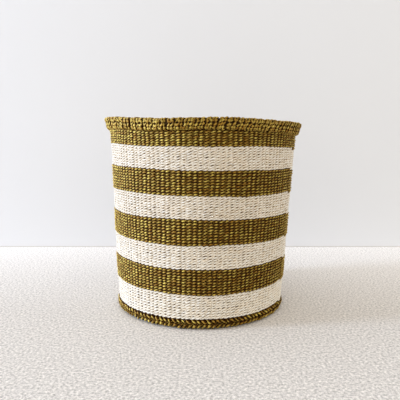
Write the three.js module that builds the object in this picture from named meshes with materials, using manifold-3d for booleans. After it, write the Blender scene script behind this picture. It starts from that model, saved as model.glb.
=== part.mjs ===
// Twined storage basket: a round, slightly tapering sisal basket with olive and cream stripes,
// a rolled rim and a flat floor. Sizes are in millimetres, +Z is up, and the origin is the middle
// of the underside.
//
// 120 warp cords start at the middle of the floor, run outwards, turn up at the edge and end in
// the rim. Pairs of weft strands are twined round them: one pair a colour, so each stripe is a
// ring of its own that the warps pass through. Ten neighbouring warps share one solid.
import * as THREE from 'three';
import { mergeVertices } from 'three/addons/utils/BufferGeometryUtils.js';
import Module from 'manifold-3d';

const wasm = await Module();
wasm.setup();

// Driving sizes
const baseRadius = 95.5;         // outside of the wall, carried straight down to the ground
const wallTopRadius = 105.1;     // outside of the wall where the rim starts
const wallThickness = 6;
const floorThickness = 6;
const cornerRadius = 5;          // outside rounding between the floor and the wall
const rimOverhang = 4.9;         // how far the rolled rim reaches out past the wall
const rimHeight = 11.9;
const rimCoreRadius = 3;
const floorCentreRadius = 41;    // inside this the warps lie too close to be told apart
const floorKnotRadius = 3.5;     // the knot in the middle that ties the upper and lower courses
const edgeWidth = 11;            // how far the lower edge row reaches in under the basket
const edgeRowHeights = { lower: 4.8, upper: 6.4 };
const gap = 0.3;                 // between pieces that lie against each other

// Warp cords
const groupCount = 12;
const warpsInGroup = 10;
const warpWidth = 1.8;
const warpThickness = 2;
const warpBendRadius = 5;        // of the cord's middle line at the edge
const bendSteps = 2;

// Facets
const facetsInGroup = 3;
const rimFacets = 8;

// Stripes from the bottom up. Their rows get tighter on the way, and are tightest under the rim.
const stripeRowCount = 9;
const topBandRowCount = 6;
const rowHeightAtEdge = 2.85;
const rowHeightInTopStripe = 2.61;
const rowHeightUnderRim = 2.42;
const strandDifference = 0.12;   // how much higher an olive row is than these, and a cream one lower
const colours = { olive: 0x6f6024, cream: 0xe9e2cf, cord: 0x473321 };
const stripeNames = [
  'cream_stripe_1', 'olive_stripe_1', 'cream_stripe_2', 'olive_stripe_2', 'cream_stripe_3',
  'olive_stripe_3', 'cream_stripe_4',
];
const stripes = stripeNames.map((name, i) => {
  const colour = name.split('_')[0];
  const wayUp = i / (stripeNames.length - 1);
  const difference = colour === 'olive' ? strandDifference : -strandDifference;
  const rowHeight = THREE.MathUtils.lerp(rowHeightAtEdge, rowHeightInTopStripe, wayUp) + difference;
  return { name, height: stripeRowCount * rowHeight, colour };
});
stripes.push({ name: 'olive_top_band', height: topBandRowCount * rowHeightUnderRim, colour: 'olive' });

// Levels and angles worked out from them
const edgeHeight = edgeRowHeights.lower + edgeRowHeights.upper;
const wallTop = stripes.reduce((level, stripe) => level + stripe.height, edgeHeight);
const groupAngle = 2 * Math.PI / groupCount;
const warpAngle = groupAngle / warpsInGroup;
const facetAngle = groupAngle / facetsInGroup;
const taper = Math.atan((wallTopRadius - baseRadius) / wallTop);
const floorMiddle = floorThickness / 2;
const edgeInnerRadius = baseRadius - edgeWidth;

const wallOuter = (z) => baseRadius + z * Math.tan(taper);
const wallInner = (z) => wallOuter(z) - wallThickness / Math.cos(taper);
const wallMiddle = (z) => (wallOuter(z) + wallInner(z)) / 2;

// The outside with its rounded corner at the ground
function outside(z) {
  const sink = Math.max(cornerRadius - z, 0);
  const corner = Math.sqrt(cornerRadius ** 2 - sink ** 2) - cornerRadius;
  return wallOuter(Math.max(z, cornerRadius)) + corner;
}

// How far a flat facet lies inside the circle that its corners are on
const facetSag = wallTopRadius * (1 - Math.cos(facetAngle / 2));

const group = new THREE.Group();

function finish(colour) {
  return new THREE.MeshStandardMaterial({ color: colours[colour], roughness: 0.9, metalness: 0 });
}

function toSolid(geometry) {
  const bare = geometry.clone();
  bare.deleteAttribute('normal');
  bare.deleteAttribute('uv');
  const merged = mergeVertices(bare, 1e-4);
  return new wasm.Manifold(new wasm.Mesh({
    numProp: 3,
    vertProperties: new Float32Array(merged.attributes.position.array),
    triVerts: new Uint32Array(merged.index.array),
  }));
}

function addMesh(name, solid, colour) {
  const { vertProperties, triVerts } = solid.getMesh();
  const geometry = new THREE.BufferGeometry();
  geometry.setAttribute('position', new THREE.BufferAttribute(vertProperties, 3));
  geometry.setIndex(new THREE.BufferAttribute(triVerts, 1));
  geometry.computeVertexNormals();
  const mesh = new THREE.Mesh(geometry, finish(colour));
  mesh.name = name;
  group.add(mesh);
}

const at = (radius, z) => new THREE.Vector2(radius, z);

// Turns a section, given anticlockwise as radius and height, through a list of angles
function sweep(section, angles) {
  const corners = section.length;
  const points = angles.flatMap((angle) => section.flatMap(
    (p) => [p.x * Math.cos(angle), p.x * Math.sin(angle), p.y]));
  const faces = [];
  for (let step = 0; step < angles.length - 1; step += 1) {
    for (let corner = 0; corner < corners; corner += 1) {
      const next = (corner + 1) % corners;
      const [a, b] = [step * corners + corner, step * corners + next];
      const [c, d] = [b + corners, a + corners];
      faces.push(a, d, c, a, c, b);
    }
  }
  const last = (angles.length - 1) * corners;
  for (const [a, b, c] of THREE.ShapeUtils.triangulateShape(section, [])) {
    faces.push(a, b, c, last + c, last + b, last + a);
  }
  const geometry = new THREE.BufferGeometry();
  geometry.setAttribute('position', new THREE.Float32BufferAttribute(points, 3));
  geometry.setIndex(faces);
  return toSolid(geometry);
}

// A full ring of the section, as a lathe turns it
function ring(section) {
  const closed = [...section, section[0]].map((p) => new THREE.Vector2(p.x, p.y));
  const geometry = new THREE.LatheGeometry(closed, groupCount * facetsInGroup, 0, 2 * Math.PI);
  geometry.rotateX(Math.PI / 2);
  geometry.rotateZ(groupAngle / 2);
  return toSolid(geometry);
}

function roundSection(centre, radius) {
  return Array.from({ length: rimFacets }, (_, i) => {
    const angle = 2 * Math.PI * i / rimFacets;
    return at(centre.x + radius * Math.cos(angle), centre.y + radius * Math.sin(angle));
  });
}

// The outline of a warp cord seen from the side, from a radius on the floor to a height in the
// wall. inside and outside are how far it reaches to either side of the cord's middle line.
function warpOutline(startRadius, topLevel, inside, outside) {
  const bendLevel = floorMiddle + warpBendRadius;
  const reach = (warpBendRadius - bendLevel * Math.sin(taper)) / Math.cos(taper);
  const bendCentre = at(wallMiddle(0) - reach, bendLevel);
  const bend = (radius) => Array.from({ length: bendSteps + 1 }, (_, i) => {
    const angle = THREE.MathUtils.lerp(-Math.PI / 2, -taper, i / bendSteps);
    return at(bendCentre.x + radius * Math.cos(angle), bendCentre.y + radius * Math.sin(angle));
  });
  const outer = [
    at(startRadius, floorMiddle - outside),
    ...bend(warpBendRadius + outside),
    at(wallMiddle(topLevel) + outside / Math.cos(taper), topLevel),
  ];
  const inner = [
    at(startRadius, floorMiddle + inside),
    ...bend(warpBendRadius - inside),
    at(wallMiddle(topLevel) - inside / Math.cos(taper), topLevel),
  ];
  return [...outer, ...inner.reverse()];
}

// Passages through the weft, one for each group of warps, with a web of weft between them.
// The webs start where two warps first lie far enough apart.
const passageInside = warpThickness / 2 + gap;
const passageOutside = passageInside + facetSag;
const lastWarpAngle = groupAngle / 2 - warpAngle / 2;
const webStartRadius = 74;
const passageAngle = lastWarpAngle + (warpWidth / 2 + gap) / webStartRadius;

function passages(startRadius) {
  const section = warpOutline(startRadius, wallTop + rimHeight, passageInside, passageOutside);
  const angles = Array.from({ length: facetsInGroup - 1 },
    (_, i) => (i + 1) * facetAngle - groupAngle / 2);
  return Array.from({ length: groupCount }, (_, g) => sweep(section,
    [-passageAngle, ...angles, passageAngle].map((angle) => angle + g * groupAngle)));
}

function withPassages(solid, startRadius) {
  return passages(startRadius).reduce((rest, passage) => rest.subtract(passage), solid);
}

function addWarps() {
  const half = warpThickness / 2;
  const coreBottom = wallTop + rimHeight / 2 - rimCoreRadius;
  const plateEnd = floorCentreRadius + warpThickness;
  const outline = new THREE.Shape(warpOutline(floorCentreRadius, coreBottom - gap, half, half));
  const plateSection = [
    at(floorKnotRadius + gap, floorMiddle - half),
    at(plateEnd, floorMiddle - half),
    at(plateEnd, floorMiddle + half),
    at(floorKnotRadius + gap, floorMiddle + half),
  ];
  const plateAngle = groupAngle / 2 - gap / 2 / floorCentreRadius;
  for (let g = 0; g < groupCount; g += 1) {
    const middle = g * groupAngle;
    let cords = sweep(plateSection, [middle - plateAngle, middle, middle + plateAngle]);
    for (let w = 0; w < warpsInGroup; w += 1) {
      const cord = new THREE.ExtrudeGeometry(outline, { depth: warpWidth, bevelEnabled: false });
      cord.rotateX(Math.PI / 2);
      cord.translate(0, warpWidth / 2, 0);
      cord.rotateZ(middle + (w + 0.5) * warpAngle - groupAngle / 2);
      cords = cords.add(toSolid(cord));
    }
    addMesh(`warp_group_${String(g + 1).padStart(2, '0')}`, cords, 'cord');
  }
}

// The floor: a centre with one hollow for the warps' flat start, and a ring round it
function addFloor() {
  const hollow = [floorMiddle - passageInside, floorMiddle + passageInside];
  const centreEdge = floorCentreRadius - gap / 2;
  addMesh('floor_centre_weft', ring([
    at(0, 0),
    at(centreEdge, 0),
    at(centreEdge, hollow[0]),
    at(floorKnotRadius, hollow[0]),
    at(floorKnotRadius, hollow[1]),
    at(centreEdge, hollow[1]),
    at(centreEdge, floorThickness),
    at(0, floorThickness),
  ]), 'olive');

  const ringStart = floorCentreRadius + gap / 2;
  const ringEnd = edgeInnerRadius - gap / 2;
  const body = ring([
    at(ringStart, 0),
    at(ringEnd, 0),
    at(ringEnd, floorThickness),
    at(ringStart, floorThickness),
  ]);
  const undivided = ring([
    at(ringStart - gap, hollow[0]),
    at(webStartRadius, hollow[0]),
    at(webStartRadius, hollow[1]),
    at(ringStart - gap, hollow[1]),
  ]);
  addMesh('floor_outer_weft', withPassages(body.subtract(undivided), webStartRadius - gap), 'olive');
}

// The two edge rows meet on a slanting line from the outside of the wall to the inner corner
function addEdge() {
  const lowerTop = edgeRowHeights.lower - gap / 2;
  const upperBottom = edgeRowHeights.lower + gap / 2;
  const upperTop = edgeHeight - gap / 2;
  const cornerMiddle = cornerRadius * (1 - Math.SQRT1_2);
  const lower = [
    at(edgeInnerRadius + gap / 2, 0),
    at(outside(0), 0),
    at(outside(cornerMiddle), cornerMiddle),
    at(outside(lowerTop), lowerTop),
    at(wallInner(floorThickness), floorThickness - gap / 2),
    at(edgeInnerRadius + gap / 2, floorThickness - gap / 2),
  ];
  const upper = [
    at(outside(upperBottom), upperBottom),
    at(wallOuter(upperTop), upperTop),
    at(wallInner(upperTop), upperTop),
    at(wallInner(floorThickness), floorThickness + gap / 2),
  ];
  addMesh('edge_row_lower', withPassages(ring(lower), webStartRadius), 'olive');
  addMesh('edge_row_upper', withPassages(ring(upper), webStartRadius), 'olive');
}

function addStripes() {
  let level = edgeHeight;
  for (const { name, height, colour } of stripes) {
    const bottom = level + gap / 2;
    const top = level + height - gap / 2;
    const band = ring([
      at(wallInner(bottom), bottom),
      at(wallOuter(bottom), bottom),
      at(wallOuter(top), top),
      at(wallInner(top), top),
    ]);
    addMesh(name, withPassages(band, webStartRadius), colour);
    level += height;
  }
}

// The rim: a core of turned-over warp ends, and the plait that wraps it, open below for the warps
function addRim() {
  const rollRadius = (rimHeight - gap / 2) / 2;
  const centre = at(wallTopRadius + rimOverhang - rollRadius, wallTop + gap / 2 + rollRadius);
  const hollowRadius = rimCoreRadius + gap / Math.cos(Math.PI / rimFacets);
  const slot = [
    at(wallMiddle(wallTop) - passageInside, wallTop - gap),
    at(wallMiddle(wallTop) + passageOutside, wallTop - gap),
    at(wallMiddle(wallTop) + passageOutside, centre.y),
    at(wallMiddle(wallTop) - passageInside, centre.y),
  ];
  addMesh('rim_core', ring(roundSection(centre, rimCoreRadius)), 'olive');
  const roll = ring(roundSection(centre, rollRadius));
  const hollow = ring(roundSection(centre, hollowRadius)).add(ring(slot));
  addMesh('rim_plait', roll.subtract(hollow), 'olive');
}

addWarps();
addFloor();
addEdge();
addStripes();
addRim();

export default group;
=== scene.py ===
"""A small round storage basket, twined by hand from olive and cream sisal.

The basket is woven in the script as it is woven by hand. 120 warp cords run from the middle of
the floor up to the rim. Pairs of weft strands go round them in a rising spiral and cross between
every two warps. A change of colour is a change of the pair. Sizes are in metres.
"""

import math

import bpy
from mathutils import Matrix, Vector


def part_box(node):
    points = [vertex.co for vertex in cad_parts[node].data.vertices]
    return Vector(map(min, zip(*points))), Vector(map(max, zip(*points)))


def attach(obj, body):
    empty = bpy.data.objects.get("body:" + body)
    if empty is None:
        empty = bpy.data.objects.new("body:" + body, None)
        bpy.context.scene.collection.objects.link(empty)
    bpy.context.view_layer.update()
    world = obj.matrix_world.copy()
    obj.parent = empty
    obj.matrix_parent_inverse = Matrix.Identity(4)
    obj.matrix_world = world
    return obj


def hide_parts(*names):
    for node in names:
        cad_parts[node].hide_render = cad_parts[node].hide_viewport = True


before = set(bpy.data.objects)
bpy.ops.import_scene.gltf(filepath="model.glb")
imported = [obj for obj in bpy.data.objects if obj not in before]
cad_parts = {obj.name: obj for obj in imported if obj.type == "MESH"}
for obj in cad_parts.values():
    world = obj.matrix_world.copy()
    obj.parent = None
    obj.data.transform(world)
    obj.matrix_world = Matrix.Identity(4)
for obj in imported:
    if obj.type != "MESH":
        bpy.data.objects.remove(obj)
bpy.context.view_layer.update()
MM = 0.001

# Sizes of the basket
BASE_RADIUS = 95.5 * MM          # outside of the wall, carried straight down to the ground
WALL_TOP_RADIUS = 105.1 * MM     # outside of the wall where the rim starts
RIM_RADIUS = 110 * MM
WALL_THICKNESS = 6 * MM
FLOOR_THICKNESS = 6 * MM
CORNER_RADIUS = 3.5 * MM         # of the middle line of the wall, where the floor turns up
WARP_COUNT = 120
WARP_SPACING = 2 * math.pi / WARP_COUNT
ROWS_IN_STRIPE = 9
ROWS_UNDER_RIM = 6
EDGE_COVER = 0.6 * MM            # how far the first stripe comes down over the upper edge row
FRONT = math.radians(270)
COLOUR_CHANGE = math.radians(-22)    # where round the basket one colour takes over from another
FRONT_SHARE = (FRONT - COLOUR_CHANGE) / (2 * math.pi)    # the part of a turn from there to the front
SMALLEST_RADIUS = 1 * MM         # nothing is divided by less

STRIPES = [
    "cream_stripe_1", "olive_stripe_1", "cream_stripe_2", "olive_stripe_2", "cream_stripe_3",
    "olive_stripe_3", "cream_stripe_4", "olive_top_band",
]
WARP_GROUPS = [f"warp_group_{i:02}" for i in range(1, 13)]


def level(node, end):
    """The height of a CAD node's underside (end 0) or top (end 1)."""
    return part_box(node)[end].z


# The basket's section: a flat floor, a round corner and a wall that leans out a little
EDGE_TOP = level("edge_row_upper", 1) - EDGE_COVER
WALL_TOP = (level("olive_top_band", 1) + level("rim_plait", 0)) / 2
BASKET_HEIGHT = level("rim_plait", 1)
TAPER = math.atan((WALL_TOP_RADIUS - BASE_RADIUS) / WALL_TOP)
CORNER_LEVEL = FLOOR_THICKNESS / 2 + CORNER_RADIUS
CORNER_TURN = math.pi / 2 - TAPER
WALL_FOOT_RADIUS = BASE_RADIUS - WALL_THICKNESS / 2 / math.cos(TAPER)
CORNER_CENTRE = WALL_FOOT_RADIUS + CORNER_LEVEL * math.tan(TAPER) - CORNER_RADIUS / math.cos(TAPER)
CORNER_LENGTH = CORNER_RADIUS * CORNER_TURN
WALL_START = CORNER_LEVEL - CORNER_RADIUS * math.cos(CORNER_TURN)


def along_wall(height):
    """How far along the section a height on the wall is, counted from where the corner starts."""
    return CORNER_LENGTH + (height - WALL_START) / math.cos(TAPER)


def along_floor(radius):
    """The same for a radius on the floor, which comes before the corner, so it is below nought."""
    return radius - CORNER_CENTRE


# Formulas in node trees


class Value:
    """A number that flows through a node tree, so that a formula reads as it is written."""

    def __init__(self, tree, socket):
        self.tree = tree
        self.socket = socket

    def __add__(self, other):
        return calculate("ADD", self, other)

    def __radd__(self, other):
        return calculate("ADD", other, self)

    def __sub__(self, other):
        return calculate("SUBTRACT", self, other)

    def __rsub__(self, other):
        return calculate("SUBTRACT", other, self)

    def __mul__(self, other):
        return calculate("MULTIPLY", self, other)

    def __rmul__(self, other):
        return calculate("MULTIPLY", other, self)

    def __truediv__(self, other):
        return calculate("DIVIDE", self, other)

    def __rtruediv__(self, other):
        return calculate("DIVIDE", other, self)

    def __mod__(self, other):
        return calculate("FLOORED_MODULO", self, other)

    def __pow__(self, other):
        return calculate("POWER", self, other)

    def __neg__(self):
        return calculate("MULTIPLY", self, -1.0)


def feed(socket, term):
    """Links a value to a socket, or writes a plain number there."""
    if isinstance(term, Value):
        term.tree.links.new(term.socket, socket)
    else:
        socket.default_value = term


def calculate(operation, *terms):
    """What a Math node makes of its terms."""
    tree = next(term.tree for term in terms if isinstance(term, Value))
    node = tree.nodes.new("ShaderNodeMath")
    node.operation = operation
    for socket, term in zip(node.inputs, terms):
        feed(socket, term)
    return Value(tree, node.outputs[0])


def sine(angle):
    return calculate("SINE", angle)


def cosine(angle):
    return calculate("COSINE", angle)


def whole(value):
    """The whole number below."""
    return calculate("FLOOR", value)


def least(a, b):
    return calculate("MINIMUM", a, b)


def most(a, b):
    return calculate("MAXIMUM", a, b)


def within(value, low, high):
    return least(most(value, low), high)


def blend(low, high, share):
    return low + (high - low) * share


def bent(value, power):
    """A power of the value's size, with the value's own sign."""
    return calculate("SIGN", value) * calculate("ABSOLUTE", value) ** power


def squarish(value):
    """Takes a sine or cosine nearer to its ends, which makes a circle's sides flatter."""
    return value * (1.5 - value * value * 0.5)


def add_node(tree, kind, settings=None, **terms):
    """A node with its settings, and its inputs fed by name. An underscore stands for a space."""
    node = tree.nodes.new(kind)
    for key, setting in (settings or {}).items():
        setattr(node, key, setting)
    for key, term in terms.items():
        name = key.replace("_", " ")
        socket = next(s for s in node.inputs if s.name == name and s.enabled)
        feed(socket, term)
    return node


def out(tree, node, name=None):
    """A node's output by name, or its first one in use."""
    socket = next(s for s in node.outputs if s.enabled and (name is None or s.name == name))
    return Value(tree, socket)


def vector(x, y, z):
    tree = next(term.tree for term in (x, y, z) if isinstance(term, Value))
    return out(tree, add_node(tree, "ShaderNodeCombineXYZ", X=x, Y=y, Z=z))


def parts(value):
    """The x, y and z of a vector."""
    node = add_node(value.tree, "ShaderNodeSeparateXYZ", Vector=value)
    return [out(value.tree, node, axis) for axis in "XYZ"]


SOCKETS = {
    float: "NodeSocketFloat", int: "NodeSocketInt", Vector: "NodeSocketVector",
    tuple: "NodeSocketColor", type(None): "NodeSocketMaterial",
}


def new_group(kind, name, inputs, outputs):
    """A node group with named inputs and their usual values. Returns the tree and the inputs."""
    tree = bpy.data.node_groups.new(name, kind)
    for label, usual in inputs.items():
        socket = tree.interface.new_socket(label, in_out="INPUT", socket_type=SOCKETS[type(usual)])
        if usual is not None:
            socket.default_value = usual
    for label, socket_type in outputs.items():
        tree.interface.new_socket(label, in_out="OUTPUT", socket_type=socket_type)
    source = tree.nodes.new("NodeGroupInput")
    return tree, {label: Value(tree, source.outputs[label]) for label in inputs}


def give(tree, **results):
    """Ends a group: links its results to the group's output."""
    end = tree.nodes.new("NodeGroupOutput")
    for label, result in results.items():
        tree.links.new(result.socket, end.inputs[label])


def place_group(tree, group, **terms):
    """The result of a geometry group that is used inside another tree."""
    return out(tree, add_node(tree, "GeometryNodeGroup", {"node_tree": group}, **terms))


def noise(tree, place, scale, detail, roughness=0.5, output=None):
    """Smooth noise over a place in space."""
    node = add_node(
        tree, "ShaderNodeTexNoise", {"noise_dimensions": "3D"}, Vector=place, Scale=scale,
        Detail=detail, Roughness=roughness)
    return out(tree, node, output)


def chance(tree, x, y, z):
    """A random number from 0 to 1 for each set of three numbers."""
    node = add_node(
        tree, "ShaderNodeTexWhiteNoise", {"noise_dimensions": "3D"}, Vector=vector(x, y, z))
    return out(tree, node, "Value")


def mixed_colour(tree, share, low, high):
    node = add_node(tree, "ShaderNodeMix", {"data_type": "RGBA"}, Factor=share, A=low, B=high)
    return out(tree, node)


# The basket's shape, shared by all that is woven

LEAN = 3.3 * MM                  # how far the hand-made wall leans to the right at the top
ROW_DROP_AT_FOOT = 0.65 * MM     # how far the rows fall to the right of the axis, low on the wall
ROW_DROP_AT_TOP = 2.1 * MM       # and at the rim, besides
ROW_WAVE = 0.5 * MM              # up and down, along a row
RIM_WAVE = 1.0 * MM
RIM_LIFT = 0.2 * MM
SURFACE_WAVE = 0.5 * MM          # in and out
STITCH_WANDER = 0.45 * MM        # any way, from one stitch to the next
WANDER_SCALE = 110.0             # of the noise that the stitches wander by, for a metre
FIRM_HEIGHT = 30 * MM            # from here down the rows and the surface settle to an even foot


def hand_made_group():
    """Moves a point of a perfectly turned basket to where it is on the hand-made one."""
    tree, given = new_group(
        "GeometryNodeTree", "hand_made_shape",
        {"Position": Vector()}, {"Position": "NodeSocketVector"})
    x, y, z = parts(given["Position"])
    rise = z / BASKET_HEIGHT
    off_ground = within(z / FIRM_HEIGHT, 0.0, 1.0)
    radius = calculate("SQRT", x * x + y * y)
    angle = calculate("ARCTAN2", y, x)
    right = x / WALL_TOP_RADIUS
    drop = right * (off_ground * ROW_DROP_AT_FOOT + rise * ROW_DROP_AT_TOP)
    # Waves of two lengths each run round the basket. Those on the wall shift with the height.
    wave = sine(angle * 3.0 + z * 60.0) * 0.6 + sine(angle * 7.0 - z * 95.0) * 0.4
    rim_wave = (sine(angle * 3.0 - 2.08) + sine(angle * 5.0 + 2.24) * 0.4) * RIM_WAVE + RIM_LIFT
    swell = sine(angle * 2.0 + z * 22.0) * 0.6 + sine(angle * 5.0 + z * 41.0 + 1.3) * 0.4

    drift = noise(tree, given["Position"], WANDER_SCALE, detail=1.0, output="Color")
    wander_x, wander_y, wander_z = [(part - 0.5) * STITCH_WANDER * 2.0 for part in parts(drift)]
    share = SURFACE_WAVE * off_ground / most(radius, SMALLEST_RADIUS) * swell
    give(tree, Position=vector(
        x + x * share + rise * LEAN + wander_x,
        y + y * share + wander_y,
        z - drop + rim_wave * rise ** 6.0 + off_ground * (ROW_WAVE * wave + wander_z),
    ))
    return tree


def section_group(hand_made):
    """A point of the floor, corner or wall: along the section, out from its middle line, round."""
    tree, given = new_group(
        "GeometryNodeTree", "basket_section",
        {"Along": 0.0, "Out": 0.0, "Angle": 0.0}, {"Position": "NodeSocketVector"})
    along = given["Along"]
    turn = within(along / CORNER_RADIUS, 0.0, CORNER_TURN)
    up_wall = most(along - CORNER_LENGTH, 0.0)
    reach = CORNER_RADIUS + given["Out"]
    radius = (
        CORNER_CENTRE + least(along, 0.0) + up_wall * math.cos(CORNER_TURN) + reach * sine(turn))
    height = CORNER_LEVEL + up_wall * math.sin(CORNER_TURN) - reach * cosine(turn)
    turned = vector(radius * cosine(given["Angle"]), radius * sine(given["Angle"]), height)
    give(tree, Position=place_group(tree, hand_made, Position=turned))
    return tree


# Tubes: every strand is one tube, made from a grid whose first axis runs along the strand and
# whose second runs round it. Its copies are told apart by their height before they are shaped.

STRAND_SIDES = 6
SEAM_REACH = 0.004 * MM          # points this close are made one, where a tube closes
LENGTHS_IN_TURN = 3.0            # a turn's strand is cut into this many lengths in the UV map
LENGTHS_IN_CORE = 4.0            # and each cord of the rim's core into this many
PLAIT_CELLS_ACROSS = 6.0         # so many of the rim's wraps lie side by side in the UV map


def tube_grid(tree, rings, copies):
    """Copies of a flat grid. Returns the geometry, and along and around from 0 to 1, and which."""
    grid = add_node(
        tree, "GeometryNodeMeshGrid", Size_X=1.0, Size_Y=1.0, Vertices_X=rings,
        Vertices_Y=STRAND_SIDES + 1)
    line = add_node(
        tree, "GeometryNodeMeshLine", {"mode": "OFFSET"}, Count=copies, Offset=(0.0, 0.0, 1.0))
    instances = add_node(
        tree, "GeometryNodeInstanceOnPoints", Points=out(tree, line), Instance=out(tree, grid))
    real = add_node(tree, "GeometryNodeRealizeInstances", Geometry=out(tree, instances))
    x, y, z = parts(out(tree, tree.nodes.new("GeometryNodeInputPosition")))
    return out(tree, real), x + 0.5, y + 0.5, z


def on_faces(value):
    """The value of the face's middle, the same at all of its corners."""
    node = add_node(
        value.tree, "GeometryNodeFieldOnDomain", {"domain": "FACE", "data_type": "FLOAT"},
        Value=value)
    return out(value.tree, node)


def store(tree, mesh, name, data_type, value):
    node = add_node(
        tree, "GeometryNodeStoreNamedAttribute", {"domain": "CORNER", "data_type": data_type},
        Geometry=mesh, Name=name, Value=value)
    return out(tree, node)


def lay_out(tree, mesh, cell, across, up, along, around, band_start, band_height):
    """Lays each length of strand in a cell of its own of the UV map, in a grid of cells."""
    end_margin = 0.01
    side_margin = 0.06
    column = cell % across
    row = whole((cell + 0.5) / across)
    u = (column + blend(end_margin, 1 - end_margin, along)) / across
    v = band_start + band_height * (row + blend(side_margin, 1 - side_margin, around)) / up
    return store(tree, mesh, "OFBake", "FLOAT2", vector(u, v, 0.0))


def close_tubes(tree, mesh, position, material):
    """Puts the points in place, closes the seams and ends, and gives the finish."""
    moved = add_node(tree, "GeometryNodeSetPosition", Geometry=mesh, Position=position)
    merged = add_node(
        tree, "GeometryNodeMergeByDistance", Geometry=out(tree, moved), Distance=SEAM_REACH)
    smooth = add_node(tree, "GeometryNodeSetShadeSmooth", Geometry=out(tree, merged))
    real = add_node(tree, "GeometryNodeRealizeInstances", Geometry=out(tree, smooth))
    finished = add_node(
        tree, "GeometryNodeSetMaterial", Geometry=out(tree, real), Material=material)
    give(tree, Geometry=out(tree, finished))


def scatter(tree, key, low, high, seed):
    """A random number for each whole key."""
    node = add_node(
        tree, "FunctionNodeRandomValue", {"data_type": "FLOAT"}, Min=low, Max=high, ID=key,
        Seed=seed)
    return out(tree, node)


def either_way(tree, key, spread, seed):
    """A random number for each whole key, above or below nought."""
    return scatter(tree, key, -spread, spread, seed)


# How far the stitches of a hand-twined row differ, to either side
STITCH_SIZE_SPREAD = 0.2
STITCH_SHIFT_SPREAD = 0.3 * MM
COLUMN_SHIFT_SPREAD = 0.25 * MM
CROSSING_SIZE_SPREAD = 0.4
CROSSING_SWAY = 0.13             # in columns
COLUMN_SEED = 7                  # the same for all stripes, so that a column bulges all the way up
END_COLUMNS = 0.7                # a strand thins out over this many columns at its ends
END_DEPTH = 0.65                 # and goes in and out only this much of the usual way


def twining_tree(section):
    """A pair of weft strands twined round the warps in a spiral of several turns."""
    tree, given = new_group("GeometryNodeTree", "twined_weft", {
        "Columns": float(WARP_COUNT),
        "Turns": float(ROWS_IN_STRIPE),
        "Steps in Column": 6,
        "Start Along": 0.0,
        "Rise": 2.8 * MM,
        "Start Angle": COLOUR_CHANGE,
        "Depth": 1.9 * MM,           # how far a strand goes out in front of a warp, and in behind
        "Dive": 0.4,                 # below 1 it dives steeply between two warps
        "Taper": 1.0,                # above 1 a stitch is fat only in its middle
        "Side by Side": 0.2,         # above 0 both strands lie in view where they cross
        "Proud": 0.0,                # how far the whole row stands out
        "Slant": 0.8 * MM,
        "Lag": 0.0,                  # the angle by which a strand comes out late
        "Stitch Height": 1.4 * MM,
        "Stitch Thickness": 1.6 * MM,
        "Crossing Height": 0.6 * MM,
        "Crossing Thickness": 1.8 * MM,
        "Size at Start": 1.0,
        "Unevenness": 1.0,
        "Band Start": 0.0,
        "Band Height": 1.0,
        "Seed": 1,
        "Material": None,
    }, {"Geometry": "NodeSocketGeometry"})
    columns = given["Columns"]
    length = columns * given["Turns"]
    rings = length * given["Steps in Column"] + 1.0
    mesh, along, around, strand = tube_grid(tree, rings, 2)

    # Where the ring is, counted in warp columns, with the rings gathered where strands cross
    even_column = along * length
    stitch = whole(even_column + 0.5)
    column = stitch + 0.5 * sine((even_column - stitch) * math.pi)
    phase = (column + strand) * math.pi
    facing = cosine(phase - given["Lag"])
    front = calculate("ABSOLUTE", cosine(phase)) ** given["Taper"]
    key = stitch * 2.0 + strand
    seed = given["Seed"]
    uneven = given["Unevenness"]
    fatness = 1.0 + either_way(tree, key, STITCH_SIZE_SPREAD, seed) * front * uneven
    lift = either_way(tree, key, STITCH_SHIFT_SPREAD, seed + 1.0) * front * uneven
    stitch_bulge = either_way(tree, key, STITCH_SHIFT_SPREAD, seed + 2.0)
    column_bulge = either_way(tree, stitch % columns, COLUMN_SHIFT_SPREAD, COLUMN_SEED)
    bulge = stitch_bulge * facing * uneven + column_bulge * facing * uneven
    openness = scatter(
        tree, whole(column), 1 - CROSSING_SIZE_SPREAD, 1 + CROSSING_SIZE_SPREAD, seed + 3.0)
    crossing_height = given["Crossing Height"] * blend(1.0, openness, uneven)
    from_end = least(column, length - column)
    end = calculate("SQRT", within(from_end / END_COLUMNS, 0.0, 1.0))

    turned = column / columns
    size = blend(given["Size at Start"], 1.0, turned / given["Turns"])
    height = blend(crossing_height, given["Stitch Height"], front) * fatness * end * size
    thickness = blend(given["Crossing Thickness"], given["Stitch Thickness"], front) * end
    around_angle = (around - 0.5) * 2 * math.pi
    slant = given["Slant"] * size * sine(phase)
    middle = given["Start Along"] + given["Rise"] * turned + slant + lift
    section_along = middle + height * sine(around_angle)
    shown = (facing + given["Side by Side"]) / (1.0 + given["Side by Side"])
    section_out = given["Depth"] * bent(shown, given["Dive"]) * blend(END_DEPTH, 1.0, end) + bulge
    section_out = section_out + given["Proud"] + thickness * cosine(around_angle)
    # The places where strands cross are not quite evenly spaced
    sway = either_way(tree, whole(column), CROSSING_SWAY, seed + 4.0) * sine(phase) ** 2.0 * uneven
    angle = given["Start Angle"] + (column + sway) / columns * 2 * math.pi

    columns_in_length = columns / LENGTHS_IN_TURN
    cut = whole(on_faces(column) / columns_in_length)
    cells = calculate("CEIL", given["Turns"] * LENGTHS_IN_TURN)
    mesh = lay_out(
        tree, mesh, cut + on_faces(strand) * cells, 1.0, cells * 2.0,
        column / columns_in_length - cut, around, given["Band Start"], given["Band Height"])
    # Strands that lean the other way have their holes, and the painted shade of their holes, on the
    # other flank
    from_hole = 0.5 + (around - 0.5) * calculate("SIGN", given["Slant"])
    mesh = store(
        tree, mesh, "strand", "FLOAT_VECTOR", vector(column, from_hole, strand + seed * 2.0))
    position = place_group(
        tree, section, Along=section_along, Out=section_out, Angle=angle)
    close_tubes(tree, mesh, position, given["Material"])
    return tree


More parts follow.
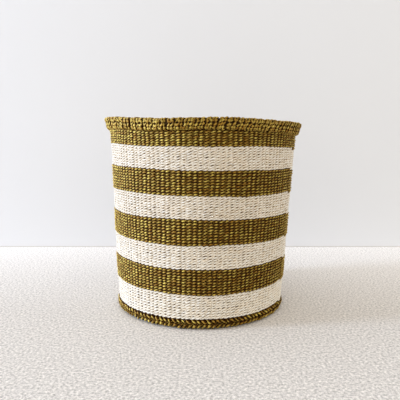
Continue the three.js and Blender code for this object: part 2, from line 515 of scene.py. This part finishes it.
def rounded_ends(along, share):
    """From 0 at a cord's two ends to 1 where this share of its length is past."""
    return calculate("SQRT", within(least(along, 1.0 - along) / share, 0.0, 1.0))


def warp_tree(section):
    """Neighbouring warp cords from the floor's middle, round the corner and up into the rim."""
    tree, given = new_group("GeometryNodeTree", "warp_cords", {
        "Cords": 10,
        "Rings": 60,
        "First Angle": 0.0,
        "Spacing": WARP_SPACING,
        "Start Along": 0.0,
        "End Along": 1.0,
        "Half Width": 0.6,           # as a share of the spacing, so that no light comes between
        "Half Thickness": 0.8 * MM,
        "End Share": 0.01,
        "Pattern Length": 60.0,      # in stitches of the finish
        "Seed": 1,
        "Material": None,
    }, {"Geometry": "NodeSocketGeometry"})
    mesh, along, around, cord = tube_grid(tree, given["Rings"], given["Cords"])
    section_along = blend(given["Start Along"], given["End Along"], along)
    around_angle = (0.5 - around) * 2 * math.pi
    end = rounded_ends(along, given["End Share"])
    angle = given["First Angle"] + given["Spacing"] * cord
    # The cords lie closer together towards the floor's middle, so they are narrower there
    radius = CORNER_CENTRE + least(section_along, 0.0)
    half_width = radius * given["Spacing"] * given["Half Width"] * end
    sideways = half_width * sine(around_angle) / most(radius, SMALLEST_RADIUS)
    position = place_group(
        tree, section, Along=section_along,
        Out=given["Half Thickness"] * end * cosine(around_angle), Angle=angle + sideways)
    mesh = lay_out(
        tree, mesh, on_faces(cord), 1.0, given["Cords"] * 1.0, along, around, 0.0, 1.0)
    mesh = store(
        tree, mesh, "strand", "FLOAT_VECTOR",
        vector(along * given["Pattern Length"], around, cord + given["Seed"]))
    close_tubes(tree, mesh, position, given["Material"])
    return tree


RIM_SETTING = 0.2 * MM           # the roll's middle is this much higher, its half height as much more
RIM_HALF_HEIGHT = (BASKET_HEIGHT - WALL_TOP) / 2 + RIM_SETTING
RIM_HALF_WIDTH = 4.3 * MM
RIM_FLARE = 1.9 * MM             # how much further out the rim's top is than its middle
RIM_SIDE_DROP = 1.2 * MM         # how much taller the rim is at its left and right, downwards
RIM_INSET = 0.5 * MM             # from the rim's radius in to the roll, for the wraps that stand out
RIM_CENTRE_RADIUS = RIM_RADIUS - RIM_INSET - RIM_HALF_WIDTH
RIM_CENTRE_LEVEL = (BASKET_HEIGHT + WALL_TOP) / 2 + RIM_SETTING

# How far the wraps of the rim differ, and the grains that each wrap shows between crossings
HOLE_ANGLE_SPREAD = 0.09         # to either side
WRAP_SHIFT_SPREAD = 0.35         # to either side, in wraps
GRAIN_SHIFT_SPREAD = 0.3         # the same
WRAP_SIZES = (0.85, 1.2)
WRAP_HEIGHTS = (-0.35 * MM, 0.3 * MM)
WRAP_TILTS = (0.7, 1.3)
PAIR_TIGHTNESS = (-0.6, 1.8)
GRAIN_HEIGHTS = (-0.3 * MM, 0.15 * MM)
GRAINS_TO_WRAP = 16.0            # more than a wrap has, so that every grain has its own key
HOLE_THINNING = 0.22
WAIST_THINNING = 0.28
HOLE_SHARPNESS = 5.0             # the hole's dip ends a fifth of a quarter turn away
RING_GATHERING = 0.6             # how much closer the rings lie at the holes


def rim_tree(hand_made):
    """Strands plaited over the rolled rim, drawn together in pairs at a row of holes."""
    tree, given = new_group("GeometryNodeTree", "rim_wraps", {
        "Wraps": 240,
        "Rings": 60,
        "Wrap Width": 1.85 * MM,
        "Wrap Thickness": 0.95 * MM,
        "Half Width": RIM_HALF_WIDTH,
        "Half Height": RIM_HALF_HEIGHT,
        "Seam Angle": math.radians(-125),
        "Over and Under": 0.7 * MM,
        "Hole Angle": math.radians(7),
        "Hole Depth": 0.42 * MM,
        "Grain": math.radians(26),       # from one crossing to the next
        "Waist Depth": 0.2 * MM,         # how far a strand is drawn in at a crossing
        "Pairing": 0.3,                  # how far neighbours meet at a hole, in wraps
        "Crown Advance": 0.9,            # how far a strand leans over the crown, in wraps
        "Crown Angle": math.radians(110),
        "Loop": 0.5,                     # how far it bows out below the holes, in wraps
        "Loop Angle": math.radians(100),
        "End Share": 1 / 16,
        "Seed": 1,
        "Material": None,
    }, {"Geometry": "NodeSocketGeometry"})
    mesh, along, around, wrap = tube_grid(tree, given["Rings"], given["Wraps"])
    spacing = 2 * math.pi / given["Wraps"]
    seed = given["Seed"]
    # The angle round the roll: 0 faces out, a quarter turn is the top. The ends meet underneath,
    # and the rings are gathered at the holes.
    hole_angle = given["Hole Angle"] + either_way(tree, wrap, HOLE_ANGLE_SPREAD, seed + 7.0)
    even_angle = along * 2 * math.pi + given["Seam Angle"] - hole_angle
    from_hole = even_angle - RING_GATHERING * sine(even_angle)
    round_roll = from_hole + hole_angle
    hole = cosine(within(from_hole * HOLE_SHARPNESS, -math.pi / 2, math.pi / 2)) ** 2.0
    # Strands cross at the holes, and again above and below them, a grain apart
    column = 0.5 + from_hole / given["Grain"]
    waist = calculate("ABSOLUTE", sine(column * math.pi)) ** 3.0
    grain_key = wrap * GRAINS_TO_WRAP + whole(column + GRAINS_TO_WRAP / 2 + 0.5)
    # Every other strand is on top at the holes, and underneath a third of a turn on
    side = cosine(wrap * math.pi)
    over = side * cosine(from_hole * 1.5)
    end = rounded_ends(along, given["End Share"])
    fatness = scatter(tree, wrap, *WRAP_SIZES, seed)
    stray = either_way(tree, wrap, WRAP_SHIFT_SPREAD, seed + 1.0)
    proud = scatter(tree, wrap, *WRAP_HEIGHTS, seed + 2.0)
    tilt = scatter(tree, wrap, *WRAP_TILTS, seed + 3.0)
    pairing = given["Pairing"] * scatter(tree, whole(wrap * 0.5), *PAIR_TIGHTNESS, seed + 4.0)
    around_angle = (0.5 - around) * 2 * math.pi
    knobbly = scatter(tree, grain_key, *GRAIN_HEIGHTS, seed + 5.0) * (1.0 - waist)
    jog = either_way(tree, grain_key, GRAIN_SHIFT_SPREAD, seed + 6.0) * (1.0 - waist)
    thinning = HOLE_THINNING * hole + WAIST_THINNING * waist
    width = given["Wrap Width"] * fatness * end * (1.0 - thinning)
    thickness = given["Wrap Thickness"] * end
    reach = thickness * (cosine(around_angle) - 1.0) + proud * (1.0 - hole) + knobbly
    reach = reach - given["Waist Depth"] * waist
    reach = reach + given["Over and Under"] * (over - 1.0) * 0.5 - given["Hole Depth"] * hole

    # Above the holes a strand leans over the crown. Below them it bows out like a loop.
    crown = within(from_hole / given["Crown Angle"], 0.0, 1.0) * given["Crown Advance"] * tilt
    below = within(-from_hole / given["Loop Angle"], 0.0, 1.0)
    loop = given["Loop"] * sine(below * math.pi) * tilt
    shift = crown - loop + stray * (1.0 - hole) + side * pairing * hole + jog
    angle = spacing * (wrap + shift) + width * sine(around_angle) / RIM_RADIUS
    outward, upward = squarish(cosine(round_roll)), squarish(sine(round_roll))
    radius = RIM_CENTRE_RADIUS + (given["Half Width"] + reach) * outward + RIM_FLARE * upward
    taller = RIM_SIDE_DROP / 2 * cosine(angle) ** 2.0
    height = RIM_CENTRE_LEVEL - taller + (given["Half Height"] + taller + reach) * upward
    position = place_group(
        tree, hand_made, Position=vector(radius * cosine(angle), radius * sine(angle), height))
    mesh = lay_out(
        tree, mesh, on_faces(wrap), PLAIT_CELLS_ACROSS, given["Wraps"] / PLAIT_CELLS_ACROSS,
        along, around, 0.0, 1.0)
    mesh = store(tree, mesh, "strand", "FLOAT_VECTOR", vector(column, around, wrap + seed))
    close_tubes(tree, mesh, position, given["Material"])
    return tree


def core_tree(hand_made):
    """The bundle inside the rim: cords laid round the basket, twisted about each other."""
    tree, given = new_group("GeometryNodeTree", "rim_bundle", {
        "Cords": 7,
        "Rings": 241,
        "Twists": 24.0,
        "Bundle Width": 1.5 * MM,
        "Bundle Height": 3.2 * MM,
        "Cord Radius": 1.45 * MM,
        "Pattern Length": 110.0,     # in stitches of the finish
        "Material": None,
    }, {"Geometry": "NodeSocketGeometry"})
    mesh, along, around, cord = tube_grid(tree, given["Rings"], given["Cords"])
    angle = along * 2 * math.pi
    twist = (along * given["Twists"] + cord / given["Cords"]) * 2 * math.pi
    around_angle = (around - 0.5) * 2 * math.pi
    thick = given["Cord Radius"]
    outward = given["Bundle Width"] * cosine(twist) + thick * cosine(around_angle)
    upward = given["Bundle Height"] * sine(twist) + thick * sine(around_angle)
    radius = RIM_CENTRE_RADIUS + outward + RIM_FLARE * upward / RIM_HALF_HEIGHT
    height = RIM_CENTRE_LEVEL + upward
    position = place_group(
        tree, hand_made, Position=vector(radius * cosine(angle), radius * sine(angle), height))
    cut = whole(on_faces(along) * LENGTHS_IN_CORE)
    mesh = lay_out(
        tree, mesh, on_faces(cord) * LENGTHS_IN_CORE + cut, 1.0, given["Cords"] * LENGTHS_IN_CORE,
        along * LENGTHS_IN_CORE - cut, around, 0.0, 1.0)
    mesh = store(
        tree, mesh, "strand", "FLOAT_VECTOR",
        vector(along * given["Pattern Length"], around, cord))
    close_tubes(tree, mesh, position, given["Material"])
    return tree


# Finishes

PAINTED_LIGHT_FOOT_HEIGHT = 120 * MM      # below this the cream has less painted shade between its strands: painted light towards the foot
BUMP_STRENGTH = 0.55
BUMP_DEPTH = 0.35 * MM
SHEEN_ROUGHNESS = 0.45
# Each random draw of the finish has a number of its own
SHADE_DRAW = 3.7
HOLE_DRAW = 5.3
WARMTH_DRAW = 9.1
HOLE_SIZES = (0.6, 1.4)
MOST_WARMTH = 0.75


def sisal_group():
    """Twisted plant fibre along the strand coordinates: colour with painted shade and a painted
    highlight, roughness and height.
    """
    tree, given = new_group("ShaderNodeTree", "sisal_strand", {
        "Fibre Colour": (0.5, 0.5, 0.5, 1.0),
        "Pale Colour": (0.7, 0.7, 0.7, 1.0),
        "Warm Colour": (0.7, 0.6, 0.5, 1.0),
        "Deep Colour": (0.2, 0.2, 0.2, 1.0),
        "Stitch Variation": 0.5,
        "Fibre Variation": 0.5,
        "Hole Shade": 0.5,
        "Hole Narrowing": 4.0,
        "Both Flanks": 0.0,
        "Side Shade": 0.25,
        "Crossing Shade": 0.0,
        "Ply Shade": 0.3,
        "Fleck": 0.3,
        "Pale Foot": 0.0,
        "Crown": 0.4,
        "Groove": 1.0,
        "Dullness": 0.78,
        "Plies": 2.0,
        "Twist": 1.3,
    }, {"Color": "NodeSocketColor", "Roughness": "NodeSocketFloat", "Height": "NodeSocketFloat"})
    attribute = add_node(
        tree, "ShaderNodeAttribute", {"attribute_type": "GEOMETRY", "attribute_name": "strand"})
    column, around, strand = parts(out(tree, attribute, "Vector"))
    stitch = whole(column + 0.5)
    stitch_shade = chance(tree, stitch, strand, SHADE_DRAW)

    # The plies wind round the strand, with streaks of fibre that follow them
    turned = (around * given["Plies"] + column * given["Twist"]) * 2 * math.pi
    ply = cosine(turned) * 0.5 + 0.5
    wound = (around + column * given["Twist"] / given["Plies"]) * 2 * math.pi
    streaks = noise(
        tree, vector(cosine(wound) * 1.7, sine(wound) * 1.7, column * 0.9 + strand * 13.1),
        scale=2.6, detail=3.0, roughness=0.65)
    streak = within((streaks - 0.5) * 2.6 + 0.5, 0.0, 1.0)
    # Paler and darker patches are several stitches long, and flecks are shorter than a stitch
    patches = noise(tree, vector(column * 0.13, strand * 7.7, 0.0), scale=1.0, detail=2.0)
    patch = patches - 0.5
    facing = cosine(around * 2 * math.pi)
    flank = sine(around * 2 * math.pi)
    flecks = noise(
        tree, vector(column * 2.1, facing, flank + strand * 5.3), scale=2.2, detail=2.0,
        roughness=0.7)
    fleck = (flecks - 0.5) * 2.0

    crossing = calculate("ABSOLUTE", sine(column * math.pi)) ** 3.0
    side = calculate("ABSOLUTE", flank) ** 2.5
    # Where two strands cross, the flanks that face each other lie in the hole between them, and are
    # painted dark there as shade
    swing = sine((column + strand) * math.pi)
    inner = most(calculate("SIGN", swing) * flank, 0.0)
    inner = blend(inner, calculate("ABSOLUTE", flank), given["Both Flanks"])
    along_hole = calculate("ABSOLUTE", swing) ** given["Hole Narrowing"]
    hole_draw = chance(tree, whole(column), whole(strand * 0.5), HOLE_DRAW)
    hole = along_hole * inner ** 1.2 * blend(*HOLE_SIZES, hole_draw)
    # Painted shade: the colour goes darker in the holes where strands cross, on the flanks between
    # rows, between the columns and between the plies. The fibre's dark flecks are added to it.
    shade_and_fleck = hole * given["Hole Shade"] + side * given["Side Shade"]
    shade_and_fleck = shade_and_fleck + crossing * given["Crossing Shade"]
    shade_and_fleck = shade_and_fleck + (1.0 - ply ** 0.6) * given["Ply Shade"] + most(-fleck, 0.0) * given["Fleck"]
    # Low on the wall a finish can have less painted shade between its strands, as the cream has:
    # painted light that makes it paler towards the foot, where more light falls
    place = out(tree, tree.nodes.new("ShaderNodeTexCoord"), "Object")
    foot = within(1.0 - parts(place)[2] / PAINTED_LIGHT_FOOT_HEIGHT, 0.0, 1.0)
    shade_and_fleck = shade_and_fleck * (1.0 - foot * given["Pale Foot"])
    # The crown of each strand is painted paler as a painted highlight; it fades on the flanks and, by
    # the Groove value, where strands cross
    paleness = (
        0.5 + (stitch_shade - 0.5) * given["Stitch Variation"]
        + (streak - 0.5) * given["Fibre Variation"] + patch * 0.5 + fleck * given["Fleck"]
        + ((1.0 - side) * (1.0 - crossing * given["Groove"]) - 0.5) * given["Crown"])
    lit = mixed_colour(
        tree, within(paleness, 0.0, 1.0), given["Fibre Colour"], given["Pale Colour"])
    warm_draw = chance(tree, stitch, strand, WARMTH_DRAW)
    warmth = within(warm_draw * 1.2 - 0.45 + patch * 0.8, 0.0, MOST_WARMTH)
    warmed = mixed_colour(tree, warmth, lit, given["Warm Colour"])
    give(
        tree, Color=mixed_colour(tree, within(shade_and_fleck, 0.0, 1.0), warmed, given["Deep Colour"]),
        Roughness=within(given["Dullness"] + streak * 0.14 + shade_and_fleck * 0.4, 0.0, 1.0),
        Height=ply ** 0.5 * 0.6 + streak * 0.4)
    return tree


def sisal(name, group, gloss, **values):
    """A sisal finish: the shared strand group with this colour's own values and gloss."""
    material = bpy.data.materials.new(name)
    material.use_nodes = True
    tree = material.node_tree
    tree.nodes.clear()
    strand = add_node(tree, "ShaderNodeGroup", {"node_tree": group}, **values)
    bump = add_node(
        tree, "ShaderNodeBump", Strength=BUMP_STRENGTH, Distance=BUMP_DEPTH,
        Height=out(tree, strand, "Height"))
    shader = add_node(
        tree, "ShaderNodeBsdfPrincipled", Base_Color=out(tree, strand, "Color"),
        Roughness=out(tree, strand, "Roughness"), Normal=out(tree, bump),
        Sheen_Roughness=SHEEN_ROUGHNESS, **gloss)
    end = tree.nodes.new("ShaderNodeOutputMaterial")
    tree.links.new(shader.outputs[0], end.inputs["Surface"])
    return material


def colour(red, green, blue):
    """A colour given as it looks on a screen, from 0 to 255, in the renderer's own light."""
    def linear(share):
        return share / 12.92 if share <= 0.04045 else ((share + 0.055) / 1.055) ** 2.4
    return (*[linear(c / 255) for c in (red, green, blue)], 1.0)


def make_finishes():
    """The sisal of each colour, of the rim and of the cords, by the names used below."""
    strand = sisal_group()
    olive_gloss = {
        "Specular_IOR_Level": 0.45, "Specular_Tint": colour(255, 234, 140),
        "Sheen_Weight": 0.1, "Sheen_Tint": colour(255, 232, 130),
    }
    cream_gloss = {
        "Specular_IOR_Level": 0.7, "Specular_Tint": colour(255, 250, 235),
        "Sheen_Weight": 0.1, "Sheen_Tint": colour(255, 250, 235),
    }
    cord_gloss = {"Specular_IOR_Level": 0.2, "Specular_Tint": colour(255, 240, 220)}
    # Each finish's darkest colour is that of its painted shade and of its dark flecks
    olive_colours = {
        "Fibre_Colour": colour(120, 80, 2), "Pale_Colour": colour(227, 200, 96),
        "Warm_Colour": colour(156, 100, 14), "Deep_Colour": colour(48, 6, 0),
        "Stitch_Variation": 0.7, "Fibre_Variation": 0.6, "Ply_Shade": 0.45, "Fleck": 0.6,
        "Dullness": 0.42,
    }
    return {
        "olive": sisal(
            "olive_sisal", strand, olive_gloss, Hole_Shade=0.3, Hole_Narrowing=3.0,
            Side_Shade=0.9, Crossing_Shade=0.36, Crown=0.7, Groove=0.7, **olive_colours),
        "rim": sisal(
            "olive_rim", strand, olive_gloss, Hole_Shade=1.35, Hole_Narrowing=5.0,
            Side_Shade=0.65, Both_Flanks=1.0, Crown=0.4, Groove=0.6, **olive_colours),
        "cream": sisal(
            "cream_sisal", strand, cream_gloss, Fibre_Colour=colour(248, 240, 222),
            Pale_Colour=colour(255, 255, 250), Warm_Colour=colour(252, 240, 220),
            Deep_Colour=colour(160, 128, 74),
            Stitch_Variation=0.5, Fibre_Variation=0.5, Hole_Shade=0.2, Hole_Narrowing=7.0,
            Side_Shade=1.1, Ply_Shade=0.25, Fleck=0.45, Crown=0.6, Groove=0.2, Dullness=0.4,
            Pale_Foot=0.55),
        # The cords' dark brown is painted shade: they show only through the holes between the
        # strands, which it makes dark
        "cord": sisal(
            "warp_cord", strand, cord_gloss, Fibre_Colour=colour(54, 24, 6),
            Pale_Colour=colour(78, 44, 16), Warm_Colour=colour(64, 28, 6),
            Deep_Colour=colour(24, 8, 2),
            Stitch_Variation=0.3, Fibre_Variation=0.6, Hole_Shade=0.0),
        # The rim core's dark brown is painted shade: it shows only between the rim's wraps, which it
        # makes dark
        "unseen": sisal(
            "rim_bundle", strand, cord_gloss, Fibre_Colour=colour(44, 28, 10),
            Pale_Colour=colour(66, 46, 18), Warm_Colour=colour(54, 32, 12),
            Deep_Colour=colour(20, 10, 4),
            Stitch_Variation=0.3, Fibre_Variation=0.6, Hole_Shade=0.0),
    }


# Making the pieces


def make_mesh(tree, **values):
    """The mesh that a tree makes with these values for its named inputs."""
    maker = bpy.data.objects.new("maker", bpy.data.meshes.new("maker"))
    bpy.context.scene.collection.objects.link(maker)
    modifier = maker.modifiers.new("maker", "NODES")
    modifier.node_group = tree
    sockets = {item.name: item for item in tree.interface.items_tree if item.in_out == "INPUT"}
    for label, value in values.items():
        modifier[sockets[label.replace("_", " ")].identifier] = value
    ready = maker.evaluated_get(bpy.context.evaluated_depsgraph_get())
    mesh = bpy.data.meshes.new_from_object(ready)
    maker.modifiers.clear()
    bpy.data.objects.remove(maker)
    return mesh


def join_meshes(meshes):
    objects = [bpy.data.objects.new("part", mesh) for mesh in meshes]
    for part in objects:
        bpy.context.scene.collection.objects.link(part)
    with bpy.context.temp_override(
            active_object=objects[0], selected_editable_objects=objects, object=objects[0]):
        bpy.ops.object.join()
    mesh = objects[0].data
    bpy.data.objects.remove(objects[0])
    return mesh


def add_piece(name, meshes, slot, *nodes):
    """A finished piece that stands for its CAD nodes."""
    mesh = meshes[0] if len(meshes) == 1 else join_meshes(meshes)
    mesh.name = name
    piece = bpy.data.objects.new(name, mesh)
    bpy.context.scene.collection.objects.link(piece)
    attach(piece, "root")
    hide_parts(*nodes)


# The two colours are twined a little differently: the olive strands go further in and out
OLIVE_TWINING = {
    "Slant": 0.58 * MM, "Stitch_Height": 1.2 * MM, "Crossing_Height": 0.56 * MM,
    "Crossing_Thickness": 1.3 * MM, "Depth": 1.25 * MM, "Dive": 0.4, "Taper": 2.0,
    "Side_by_Side": 0.3,
}
CREAM_TWINING = {
    "Slant": 0.68 * MM, "Stitch_Height": 1.24 * MM, "Crossing_Height": 0.78 * MM,
    "Crossing_Thickness": 1.5 * MM, "Depth": 0.65 * MM, "Dive": 0.35, "Taper": 0.9,
    "Side_by_Side": 0.45,
}
TWINING = {"olive": OLIVE_TWINING, "cream": CREAM_TWINING}
RUN_INTO_RIM = 0.5               # turns that the top band's pair goes on, unseen inside the rim


def weave_name(node):
    """The name of the piece that shows a stripe or band."""
    return node.replace("stripe", "weave").replace("band", "weave")


def add_stripes(twining, finishes):
    """Each stripe is one pair of strands. Its rows meet the stripe's levels at the front."""
    borders = [(level(a, 1) + level(b, 0)) / 2 for a, b in zip(STRIPES, STRIPES[1:])]
    levels = [along_wall(height) for height in (EDGE_TOP, *borders, WALL_TOP)]
    for order, node in enumerate(STRIPES):
        shade = node.split("_")[0]
        at_rim = node == STRIPES[-1]
        rows = ROWS_UNDER_RIM if at_rim else ROWS_IN_STRIPE
        rise = (levels[order + 1] - levels[order]) / rows
        mesh = make_mesh(
            twining, Turns=rows + (RUN_INTO_RIM if at_rim else 0.0), Rise=rise,
            Start_Along=levels[order] + rise * (0.5 - FRONT_SHARE), Seed=order + 1,
            Material=finishes[shade], **TWINING[shade])
        add_piece(weave_name(node), [mesh], f"{shade}_sisal", node)


# Zones of the floor from the middle out: outer radius, warps and rows
FLOOR_START = 1.0 * MM
CENTRE_ZONES = [
    (2.6 * MM, 4, 1), (8 * MM, 8, 2), (16 * MM, 16, 3), (29.5 * MM, 30, 5), (41 * MM, 60, 4),
]
OUTER_ZONES = [(58 * MM, 60, 6), (84.5 * MM, WARP_COUNT, 10)]
FLOOR_STEPS = 4                  # rings to a column, fewer than on the wall


def floor_zones(twining, inner, zones, material, seed):
    """Rings of floor outwards from a radius, each a pair of strands round its own warps."""
    meshes = []
    for order, (outer, columns, rows) in enumerate(zones):
        meshes.append(make_mesh(
            twining, Columns=float(columns), Turns=float(rows), Steps_in_Column=FLOOR_STEPS,
            Rise=(outer - inner) / rows, Start_Along=along_floor(inner), Seed=seed + order,
            Material=material, Band_Start=order / len(zones), Band_Height=1 / len(zones),
            **OLIVE_TWINING))
        inner = outer
    return meshes


def add_floor(twining, finishes):
    olive = finishes["olive"]
    centre = floor_zones(twining, FLOOR_START, CENTRE_ZONES, olive, seed=21)
    add_piece("floor_centre_weave", centre, "olive_sisal", "floor_centre_weft")
    outer = floor_zones(twining, CENTRE_ZONES[-1][0], OUTER_ZONES, olive, seed=31)
    add_piece("floor_outer_weave", outer, "olive_sisal", "floor_outer_weft")


UNDER_EDGE_ROWS = 2              # plain rows between the floor and the lower edge row
ROW_PITCH = (level("cream_stripe_1", 1) - level("cream_stripe_1", 0)) / ROWS_IN_STRIPE
LOWER_EDGE = (2.1 * MM, 5.0 * MM)     # where the lower edge row starts and ends on the section
# The upper edge row's stitches, as shares of its height
UPPER_EDGE_SLANT = 0.27
UPPER_EDGE_STITCH = 0.34
UPPER_EDGE_CROSSING = 0.14


def add_edge(twining, finishes):
    """Two rows of thicker strands, leaning opposite ways like a herringbone."""
    olive = finishes["olive"]
    inner = along_floor(OUTER_ZONES[-1][0])
    under = make_mesh(
        twining, Turns=float(UNDER_EDGE_ROWS), Rise=(LOWER_EDGE[0] - inner) / UNDER_EDGE_ROWS,
        Start_Along=inner, Seed=41, Material=olive, Band_Start=0.5, Band_Height=0.5,
        **OLIVE_TWINING)
    lower = make_mesh(
        twining, Turns=1.0, Rise=0.0, Start_Along=sum(LOWER_EDGE) / 2, Seed=42, Material=olive,
        Slant=1.0 * MM, Stitch_Height=1.3 * MM, Crossing_Height=0.45 * MM, Proud=0.9 * MM,
        Lag=0.3, Unevenness=1.3, Band_Height=0.5)
    add_piece("edge_lower_weave", [lower, under], "olive_sisal", "edge_row_lower")
    # The upper row grows as it goes round, because the first stripe's spiral rises over it.
    row = along_wall(EDGE_TOP + ROW_PITCH) - along_wall(EDGE_TOP)
    height_at_start = along_wall(EDGE_TOP) - FRONT_SHARE * row - LOWER_EDGE[1]
    height_at_end = height_at_start + row
    upper = make_mesh(
        twining, Turns=1.0, Rise=row / 2, Start_Along=LOWER_EDGE[1] + height_at_start / 2,
        Seed=43, Material=olive, Slant=-UPPER_EDGE_SLANT * height_at_end,
        Stitch_Height=UPPER_EDGE_STITCH * height_at_end,
        Crossing_Height=UPPER_EDGE_CROSSING * height_at_end, Lag=0.5,
        Stitch_Thickness=1.4 * MM, Proud=0.1 * MM, Unevenness=1.5,
        Size_at_Start=height_at_start / height_at_end)
    add_piece("edge_upper_weave", [upper], "olive_sisal", "edge_row_upper")


WARP_START = 4 * MM              # from the floor's middle
WARP_IN_RIM = 6 * MM             # how far a warp goes up inside the rim


def add_warps(warps, finishes):
    in_group = WARP_COUNT // len(WARP_GROUPS)
    for order, node in enumerate(WARP_GROUPS):
        first = order * in_group - in_group / 2 + 0.5
        mesh = make_mesh(
            warps, Cords=in_group, First_Angle=first * WARP_SPACING,
            Start_Along=along_floor(WARP_START), End_Along=along_wall(WALL_TOP + WARP_IN_RIM),
            Seed=order * in_group, Material=finishes["cord"])
        add_piece(node.replace("warp_group", "warp_cords"), [mesh], "warp_cord", node)


def add_rim(wraps, core, finishes):
    plait = make_mesh(wraps, Seed=51, Material=finishes["rim"])
    add_piece("rim_wraps", [plait], "olive_sisal", "rim_plait")
    bundle = make_mesh(core, Material=finishes["unseen"])
    add_piece("rim_bundle", [bundle], "olive_sisal", "rim_core")


# The room: a pale floor and wall, soft light from the left, and the photograph's camera

CAMERA_DISTANCE = 532 * MM
CAMERA_HEIGHT = 186.8 * MM
CAMERA_PITCH = math.radians(7.3)
PICTURE_WIDTH = 400              # in pixels
FOCAL_LENGTH = 458.2             # in the same pixels
SENSOR_WIDTH = 36                # in millimetres, as the camera counts it
BACK_WALL = 267 * MM             # from the basket's axis
STAGE_REACH = 4.0                # how far the floor and the wall go
FOOT_SHADE_HEIGHT = 2 * MM            # of the painted shade along the corner where they meet
ROOM_COLOUR = (1.0, 0.945, 0.858, 1.0)
ROOM_STRENGTH = 1.05
LAMP_SIZE = 0.7
LAMP_TARGET = (0, 0, 0.1)        # the basket's middle


def stage_finish(name, low, high, axis, start, length, mottle):
    """A matt finish that goes from one colour to another along an axis, a little mottled."""
    material = bpy.data.materials.new(name)
    material.use_nodes = True
    tree = material.node_tree
    shader = tree.nodes["Principled BSDF"]
    shader.inputs["Roughness"].default_value = 0.95
    shader.inputs["Specular IOR Level"].default_value = 0.1
    place = Value(tree, tree.nodes.new("ShaderNodeTexCoord").outputs["Object"])
    share = within((parts(place)[axis] - start) / length, 0.0, 1.0)
    plain = mixed_colour(tree, share, low, high)
    grain = noise(tree, place, scale=420.0, detail=2.0, roughness=0.7)
    mottled = add_node(
        tree, "ShaderNodeVectorMath", {"operation": "SCALE"}, Vector=plain,
        Scale=1.0 + (grain - 0.5) * mottle)
    feed(shader.inputs["Base Color"], out(tree, mottled))

    # A camera behind the sheet looks through it, so that the basket can be seen from all sides
    camera_ray = Value(tree, tree.nodes.new("ShaderNodeLightPath").outputs["Is Camera Ray"])
    behind = Value(tree, tree.nodes.new("ShaderNodeNewGeometry").outputs["Backfacing"])
    mixed = tree.nodes.new("ShaderNodeMixShader")
    feed(mixed.inputs[0], camera_ray * behind)
    tree.links.new(shader.outputs[0], mixed.inputs[1])
    tree.links.new(tree.nodes.new("ShaderNodeBsdfTransparent").outputs[0], mixed.inputs[2])
    tree.links.new(mixed.outputs[0], tree.nodes["Material Output"].inputs["Surface"])
    return material


def add_sheet(name, corners, material):
    mesh = bpy.data.meshes.new(name)
    mesh.from_pydata(corners, [], [(0, 1, 2, 3)])
    mesh.materials.append(material)
    sheet = bpy.data.objects.new(name, mesh)
    bpy.context.scene.collection.objects.link(sheet)


def across_back(low, high):
    """The corners of an upright sheet behind the basket, from one height to another."""
    return [
        (-STAGE_REACH, BACK_WALL, low), (STAGE_REACH, BACK_WALL, low),
        (STAGE_REACH, BACK_WALL, high), (-STAGE_REACH, BACK_WALL, high)]


def add_stage():
    # The floor is painted paler towards the back as painted light, where more light falls on it
    ground = stage_finish(
        "pale_floor", colour(219, 215, 211), colour(253, 251, 250), axis=1, start=-50 * MM,
        length=0.35, mottle=2.0)
    wall = stage_finish(
        "pale_wall", colour(230, 231, 234), colour(231, 232, 234), axis=0, start=-0.35,
        length=0.7, mottle=0.0)
    # A darker strip along the wall's foot is painted shade in the corner where the wall meets the
    # floor
    joint = stage_finish(
        "wall_foot_shade", colour(212, 209, 206), colour(212, 209, 206), axis=0, start=0.0,
        length=1.0, mottle=0.0)
    add_sheet("floor", [
        (-STAGE_REACH, -STAGE_REACH, 0), (STAGE_REACH, -STAGE_REACH, 0),
        (STAGE_REACH, BACK_WALL, 0), (-STAGE_REACH, BACK_WALL, 0)], ground)
    add_sheet("joint", across_back(0, FOOT_SHADE_HEIGHT), joint)
    add_sheet("backdrop", across_back(FOOT_SHADE_HEIGHT, STAGE_REACH), wall)


def add_lamp(name, place, power, tint):
    """A round soft lamp that shines at the basket's middle."""
    light = bpy.data.lights.new(name, "AREA")
    light.shape = "DISK"
    light.size = LAMP_SIZE
    light.energy = power
    light.color = tint
    lamp = bpy.data.objects.new(name, light)
    lamp.location = place
    way = Vector(LAMP_TARGET) - Vector(place)
    lamp.rotation_euler = way.to_track_quat("-Z", "Y").to_euler()
    bpy.context.scene.collection.objects.link(lamp)
    return lamp


def add_light():
    world = bpy.data.worlds.new("room_light")
    world.use_nodes = True
    background = world.node_tree.nodes["Background"]
    background.inputs["Color"].default_value = ROOM_COLOUR
    background.inputs["Strength"].default_value = ROOM_STRENGTH
    bpy.context.scene.world = world
    add_lamp("window", place=(-3.36, -0.59, 0.95), power=78, tint=(0.78, 0.93, 1.2))
    # A second window lamp lights only the olive pieces outside, whose strands shine on the left
    gloss = add_lamp(
        "window_on_olive", place=(-3.4, 0.25, 0.95), power=325, tint=(0.82, 0.98, 1.18))
    olive_pieces = bpy.data.collections.new("olive_pieces")
    stripes = [weave_name(node) for node in STRIPES if node.startswith("olive")]
    for name in [*stripes, "edge_lower_weave", "edge_upper_weave", "rim_wraps"]:
        olive_pieces.objects.link(bpy.data.objects[name])
    gloss.light_linking.receiver_collection = olive_pieces


def add_camera():
    data = bpy.data.cameras.new("camera")
    data.sensor_width = SENSOR_WIDTH
    data.lens = SENSOR_WIDTH * FOCAL_LENGTH / PICTURE_WIDTH
    camera = bpy.data.objects.new("camera", data)
    camera.location = (0, -CAMERA_DISTANCE, CAMERA_HEIGHT)
    camera.rotation_euler = (math.pi / 2 - CAMERA_PITCH, 0, 0)
    bpy.context.scene.collection.objects.link(camera)
    bpy.context.scene.camera = camera


def main():
    bpy.context.scene.view_settings.view_transform = "Standard"
    add_camera()
    add_stage()
    finishes = make_finishes()
    hand_made = hand_made_group()
    section = section_group(hand_made)
    twining = twining_tree(section)
    add_stripes(twining, finishes)
    add_floor(twining, finishes)
    add_edge(twining, finishes)
    add_warps(warp_tree(section), finishes)
    add_rim(rim_tree(hand_made), core_tree(hand_made), finishes)
    add_light()


main()
